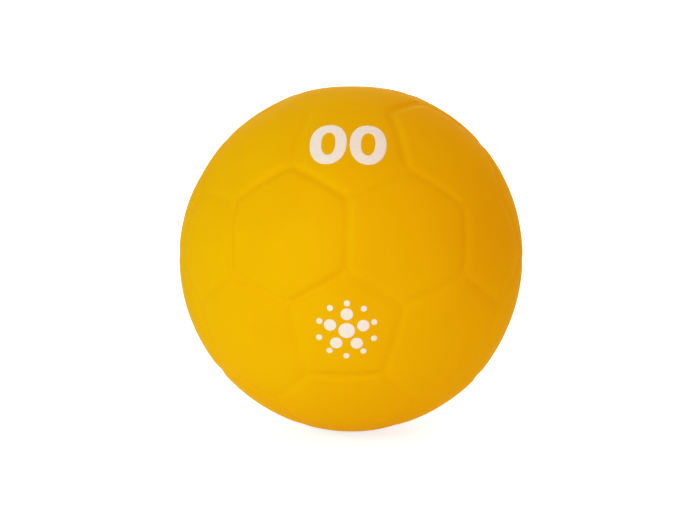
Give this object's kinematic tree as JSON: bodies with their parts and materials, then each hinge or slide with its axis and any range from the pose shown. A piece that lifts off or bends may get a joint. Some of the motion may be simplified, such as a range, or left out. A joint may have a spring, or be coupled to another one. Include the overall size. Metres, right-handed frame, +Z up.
{
  "type": "handball",
  "caption": "Small soft moulded handball with panel lines, a printed size number on the upper front panel, a dotted rosette on the lower one and a needle valve at the back.",
  "frame": {"origin": "the ball's middle", "axes": "+Z up, through the middle of a six-sided panel; -Y the front, with the number on the upper and the rosette on the lower five-sided panel; the panel pattern mirrors across the plane X = 0; the valve is at the back, opposite the rosette"},
  "size_m": [0.1398, 0.1401, 0.14],
  "materials": {
    "skin": "satin",
    "valve_rubber": "matte",
    "core_rubber": "matte",
    "ink": "satin"
  },
  "bodies": {
    "root": {"shell": "skin", "valve_housing": "valve_rubber", "valve_core": "core_rubber", "digit_left": "ink", "digit_right": "ink", "rosette_centre": "ink", "rosette_petals": "ink", "rosette_beads": "ink"}
  },
  "joints": []
}
